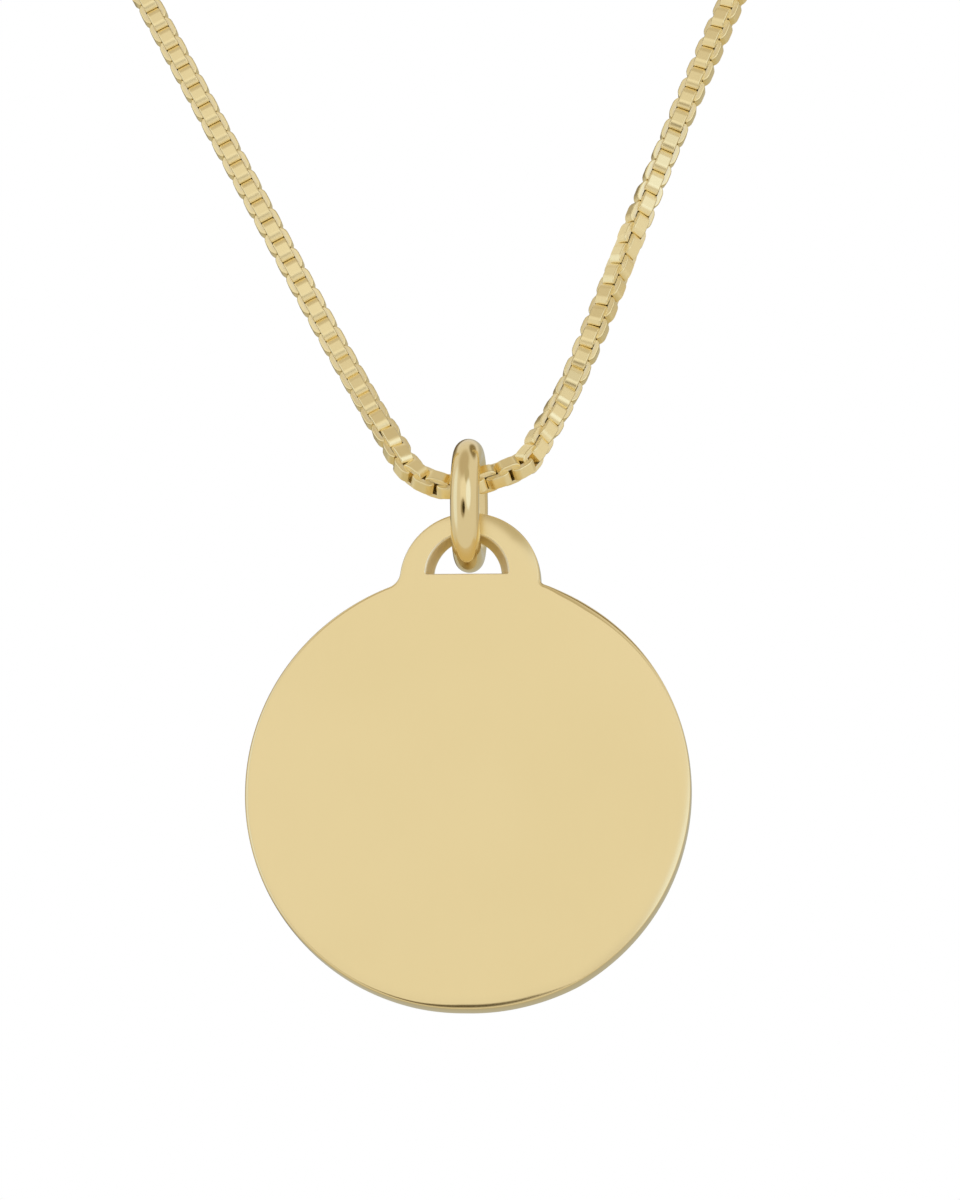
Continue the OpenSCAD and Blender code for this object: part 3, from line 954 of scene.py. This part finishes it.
def zone_group():
    """One soft zone: with r and u the ray along the zone's width and height, in units of its half sizes,
    its colour replaces the one behind it where sqrt(r^2 + u^2) is under 1, and fades towards the reach."""
    group, given = open_group("Studio Zone", {
        "Ray": VECTOR, "Color": COLOR, "Middle": VECTOR, "Width": VECTOR, "Height": VECTOR,
        "Reach": FLOAT, "Zone Color": COLOR})
    ahead, across, upwards = (
        add_node(group, "ShaderNodeVectorMath", {"operation": "DOT_PRODUCT"},
                 {0: given["Ray"], 1: given[axis]}).outputs["Value"]
        for axis in ("Middle", "Width", "Height")
    )
    square = math_node(group, "MULTIPLY", across, across)
    radius = math_node(group, "SQRT", math_node(group, "MULTIPLY_ADD", upwards, upwards, square))
    fade = smooth_step(group, radius, 1.0, given["Reach"], 1.0, 0.0)
    share = math_node(group, "MULTIPLY", fade, math_node(group, "GREATER_THAN", ahead, 0.0))
    color = mixed(group, "RGBA", share, given["Color"], given["Zone Color"])
    return close_group(group, ("Color", COLOR, color))


def studio_world():
    """A white background for the camera, and for reflections a plain room with soft zones."""
    world = bpy.data.worlds.new("Soft Studio")
    world.use_nodes = True
    tree = world.node_tree
    ray = add_node(tree, "ShaderNodeTexCoord").outputs["Generated"]
    zone = zone_group()
    color = STUDIO_BASE
    for name, azimuth, elevation, half_width, half_height, reach, *zone_color in STUDIO_ZONES:
        middle = direction(azimuth, elevation)
        width = unit(np.cross(UP, middle))
        height = np.cross(middle, width)
        wide, high = np.sin(np.radians([half_width, half_height]))
        node = add_node(tree, "ShaderNodeGroup", {"node_tree": zone, "label": name}, {
            "Ray": ray, "Color": color, "Middle": tuple(middle),
            "Width": tuple(width / wide), "Height": tuple(height / high), "Reach": reach,
            "Zone Color": (*zone_color, 1.0),
        })
        color = node.outputs["Color"]
    seen = add_node(tree, "ShaderNodeLightPath").outputs["Is Camera Ray"]
    shown = mixed(tree, "RGBA", seen, color, (1, 1, 1, 1))
    tree.links.new(shown, tree.nodes["Background"].inputs["Color"])
    bpy.context.scene.world = world


def area_light(name, azimuth, elevation, distance, width, height, power):
    """A soft light on the floor that looks at the tag from that direction."""
    light = bpy.data.lights.new(name, "AREA")
    light.shape = "RECTANGLE"
    light.size, light.size_y, light.energy = width, height, power
    away = direction(azimuth, elevation)
    lamp = bpy.data.objects.new(name, light)
    lamp.matrix_world = look_from(TAG_CENTRE + distance * away, away)
    lamp.visible_glossy = False
    bpy.context.scene.collection.objects.link(lamp)


def look_from(place, back, roll=0.0):
    """The matrix of a camera or lamp at that place which looks against back, rolled by these degrees."""
    right = unit(np.cross(UP, back))
    up = np.cross(back, right)
    sine, cosine = math.sin(math.radians(roll)), math.cos(math.radians(roll))
    rolled_right = right * cosine + up * sine
    rolled_up = up * cosine - right * sine
    matrix = np.identity(4)
    matrix[:3, :4] = np.column_stack([rolled_right, rolled_up, back, place])
    return Matrix(matrix.tolist())


def floor_piece(stage):
    """The plain floor, far below the camera's view."""
    span = stage.floor_width * np.array([-0.5, 0.5])
    x, y = np.meshgrid(span, span, indexing="ij")
    points = stacked(x, y, stage.floor_height)
    normals = np.broadcast_to(UP, points.shape)
    floor = grid_piece("floor", points, normals, False, False)
    floor.visible_glossy = False
    material = bpy.data.materials.new("Pale Floor")
    material.use_nodes = True
    shader = material.node_tree.nodes["Principled BSDF"]
    shader.inputs["Base Color"].default_value = (*stage.floor_color, 1.0)
    shader.inputs["Roughness"].default_value = FLOOR_ROUGHNESS
    floor.data.materials.append(material)


def photo_camera():
    """The photograph's camera: the lens gives the measured scale at the tag's distance."""
    data = bpy.data.cameras.new("Photo Camera")
    data.sensor_width = SENSOR
    data.lens = SENSOR * CAMERA_DISTANCE / (FRAME_HEIGHT / PIXELS_PER_MM * MM)
    data.clip_start, data.clip_end = CLIP_START, CLIP_END
    camera = bpy.data.objects.new("Photo Camera", data)
    camera.matrix_world = look_from(CAMERA_AIM + CAMERA_DISTANCE * TO_CAMERA, TO_CAMERA, CAMERA_ROLL)
    bpy.context.scene.collection.objects.link(camera)
    bpy.context.scene.camera = camera


class PENDANT_OT_stage(bpy.types.Operator):
    """Sets the floor, the soft studio light and the photograph's camera"""

    bl_idname = "pendant.stage"
    bl_label = "Studio"

    def execute(self, context):
        floor_piece(context.scene.pendant_stage)
        studio_world()
        for name, lamp in LAMPS.items():
            area_light(name, *lamp)
        photo_camera()
        context.scene.view_settings.view_transform = "Standard"
        return {"FINISHED"}


class PENDANT_PT_panel(bpy.types.Panel):
    """Lists the pieces of the pendant in the sidebar"""

    bl_idname = "PENDANT_PT_panel"
    bl_label = "Disc Pendant"
    bl_space_type = "VIEW_3D"
    bl_region_type = "UI"
    bl_category = "Pendant"

    def draw(self, context):
        for operator in OPERATORS:
            self.layout.operator(operator.bl_idname)


SETTINGS = {
    "pendant_gold": PendantGoldSettings,
    "pendant_tag": PendantTagSettings,
    "pendant_chain": PendantChainSettings,
    "pendant_clasp": PendantClaspSettings,
    "pendant_stage": PendantStageSettings,
}
OPERATORS = (PENDANT_OT_tag, PENDANT_OT_ring, PENDANT_OT_chain, PENDANT_OT_clasp, PENDANT_OT_stage)


def register():
    for name, group in SETTINGS.items():
        bpy.utils.register_class(group)
        setattr(bpy.types.Scene, name, bpy.props.PointerProperty(type=group))
    for operator in OPERATORS:
        bpy.utils.register_class(operator)
    bpy.utils.register_class(PENDANT_PT_panel)


def unregister():
    bpy.utils.unregister_class(PENDANT_PT_panel)
    for operator in reversed(OPERATORS):
        bpy.utils.unregister_class(operator)
    for name, group in SETTINGS.items():
        delattr(bpy.types.Scene, name)
        bpy.utils.unregister_class(group)


def main():
    """Builds every piece and the stage."""
    register()
    bpy.ops.pendant.tag()
    bpy.ops.pendant.ring()
    bpy.ops.pendant.chain()
    bpy.ops.pendant.clasp()
    bpy.ops.pendant.stage()


if __name__ == "__main__":
    main()
